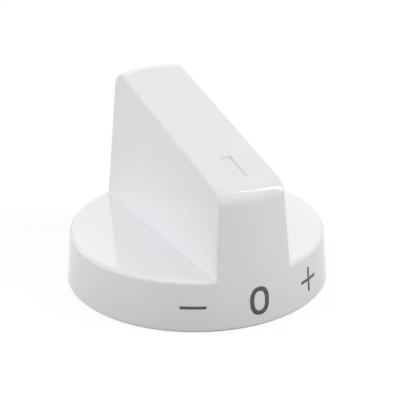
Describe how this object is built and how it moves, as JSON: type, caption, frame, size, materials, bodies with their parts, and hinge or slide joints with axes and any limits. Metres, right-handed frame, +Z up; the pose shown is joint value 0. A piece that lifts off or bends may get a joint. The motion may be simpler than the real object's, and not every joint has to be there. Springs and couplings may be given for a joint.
{
  "type": "control knob",
  "caption": "Round-skirted appliance control knob with a tall wedge grip, a pointer pocket, a hollow underside and a sprung D-shaft socket.",
  "frame": {"origin": "on the spindle's axis, in the plane of the skirt's foot", "axes": "+Z up along the spindle's axis, away from the panel; -Y the way the knob points (the grip's low nose); +Y the grip's high tail; +X to the right seen from the nose"},
  "size_m": [0.05, 0.05, 0.0359],
  "materials": {
    "white_plastic": "glossy moulded white",
    "spring_steel": "bright rolled strip",
    "print_ink": "dark warm grey pad-printed ink"
  },
  "bodies": {
    "root": {"knob_body": "white_plastic", "spindle_clip": "spring_steel"}
  },
  "joints": []
}
